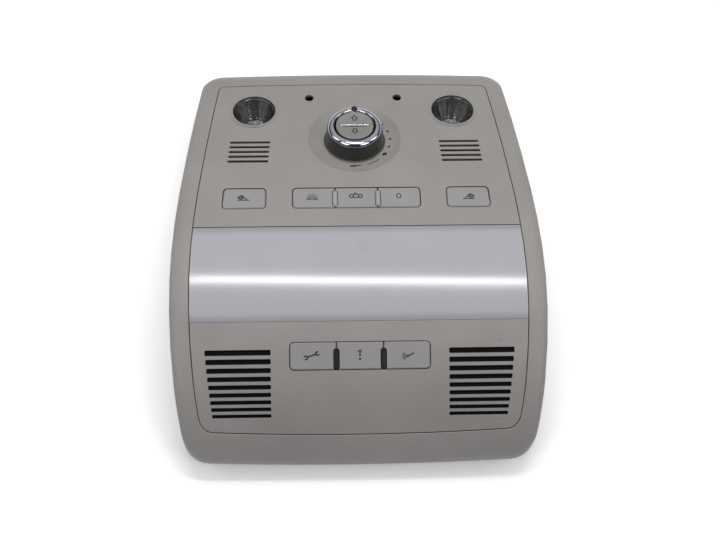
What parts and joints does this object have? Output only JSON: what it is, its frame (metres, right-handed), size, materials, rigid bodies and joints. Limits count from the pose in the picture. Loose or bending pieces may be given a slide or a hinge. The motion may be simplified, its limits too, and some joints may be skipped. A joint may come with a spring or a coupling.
{
  "type": "car dome light",
  "caption": "Car overhead console: curved housing with a wide dome lens, two reading lights, a rotary roof switch, push buttons and slotted speaker grilles.",
  "frame": {"origin": "middle of the bounding box's underside, on the floor of the back cover", "axes": "+Z out of the visible face (down into the cabin in use), +Y towards the edge by the windscreen, X across the car"},
  "size_m": [0.231, 0.2716, 0.0642],
  "materials": {
    "grey_plastic": "fine-grained moulded, satin",
    "button_plastic": "fine-grained moulded, satin",
    "light_grey_plastic": "smooth, satin",
    "lens_plastic": "translucent, gloss",
    "clear_plastic": "clear, prismed",
    "reflector": "metallised",
    "white_plastic": "satin white",
    "bulb_glass": "clear glass with metal caps",
    "brass": "plated",
    "chrome": "polished",
    "black_plastic": "moulded, satin",
    "cloth": "acoustic cloth",
    "paper_cone": "coated paper",
    "steel": "zinc plated",
    "board": "solder-resist coated laminate",
    "magnet": "ferrite and plated yoke"
  },
  "bodies": {
    "console": {"bezel_frame": "grey_plastic", "switch_panel": "grey_plastic", "speaker_panel": "grey_plastic", "dome_lens": "lens_plastic", "dome_reflector": "white_plastic", "tube_bulbs": "bulb_glass", "bulb_contacts": "brass", "reading_lens_left": "clear_plastic", "reading_lens_right": "clear_plastic", "reading_reflector_left": "reflector", "reading_reflector_right": "reflector", "reading_bulb_left": "bulb_glass", "reading_bulb_right": "bulb_glass", "reading_socket_left": "black_plastic", "reading_socket_right": "black_plastic", "rotary_switch": "black_plastic", "rear_dividers": "light_grey_plastic", "front_dividers": "black_plastic", "rear_switch_block": "black_plastic", "front_switch_block": "black_plastic", "side_switch_block_left": "black_plastic", "side_switch_block_right": "black_plastic", "rear_cloth_left": "cloth", "rear_cloth_right": "cloth", "speaker_cloth_left": "cloth", "speaker_cloth_right": "cloth", "microphone_left": "black_plastic", "microphone_right": "black_plastic", "speaker_basket_left": "black_plastic", "speaker_basket_right": "black_plastic", "speaker_cone_left": "paper_cone", "speaker_cone_right": "paper_cone", "speaker_magnet_left": "magnet", "speaker_magnet_right": "magnet", "switch_board": "board", "front_board": "board", "main_board": "board", "connector_socket": "black_plastic", "connector_pins": "brass", "back_cover": "black_plastic", "cover_screws": "steel", "board_screws": "steel", "spring_clips": "steel"},
    "knob": {"knob_body": "chrome", "knob_ring": "chrome", "knob_pointer": "black_plastic"},
    "rocker": {"knob_rocker": "button_plastic"},
    "reading_button_left": {"reading_button_left": "button_plastic"},
    "reading_button_right": {"reading_button_right": "button_plastic"},
    "dome_button": {"dome_button": "button_plastic"},
    "door_button": {"door_button": "button_plastic"},
    "off_button": {"off_button": "button_plastic"},
    "service_button": {"service_button": "button_plastic"},
    "info_button": {"info_button": "button_plastic"},
    "voice_button": {"voice_button": "button_plastic"}
  },
  "joints": [
    {"name": "knob_turn", "type": "hinge", "parent": "console", "child": "knob", "pos_m": [0, 0.07523, 0.05172], "axis": [0, 0.2527, 0.9676], "range_deg": [-180, 0]},
    {"name": "rocker_tip", "type": "hinge", "parent": "console", "child": "rocker", "pos_m": [0, 0.07609, 0.05501], "axis": [1, 0, 0], "range_deg": [-4, 4], "stiffness_Nm_per_rad": 0.05},
    {"name": "reading_button_left_press", "type": "slide", "parent": "console", "child": "reading_button_left", "axis": [0, -0.1713, -0.9852], "range_m": [0, 0.0012], "stiffness_N_per_m": 600, "springref_m": -0.0005},
    {"name": "reading_button_right_press", "type": "slide", "parent": "console", "child": "reading_button_right", "axis": [0, -0.1713, -0.9852], "range_m": [0, 0.0012], "stiffness_N_per_m": 600, "springref_m": -0.0005},
    {"name": "dome_button_press", "type": "slide", "parent": "console", "child": "dome_button", "axis": [0, -0.1713, -0.9852], "range_m": [0, 0.0012], "stiffness_N_per_m": 600, "springref_m": -0.0005},
    {"name": "door_button_press", "type": "slide", "parent": "console", "child": "door_button", "axis": [0, -0.1713, -0.9852], "range_m": [0, 0.0012], "stiffness_N_per_m": 600, "springref_m": -0.0005},
    {"name": "off_button_press", "type": "slide", "parent": "console", "child": "off_button", "axis": [0, -0.1713, -0.9852], "range_m": [0, 0.0012], "stiffness_N_per_m": 600, "springref_m": -0.0005},
    {"name": "service_button_press", "type": "slide", "parent": "console", "child": "service_button", "axis": [0, 0.3439, -0.939], "range_m": [0, 0.0012], "stiffness_N_per_m": 600, "springref_m": -0.0005},
    {"name": "info_button_press", "type": "slide", "parent": "console", "child": "info_button", "axis": [0, 0.3439, -0.939], "range_m": [0, 0.0012], "stiffness_N_per_m": 600, "springref_m": -0.0005},
    {"name": "voice_button_press", "type": "slide", "parent": "console", "child": "voice_button", "axis": [0, 0.3439, -0.939], "range_m": [0, 0.0012], "stiffness_N_per_m": 600, "springref_m": -0.0005}
  ]
}
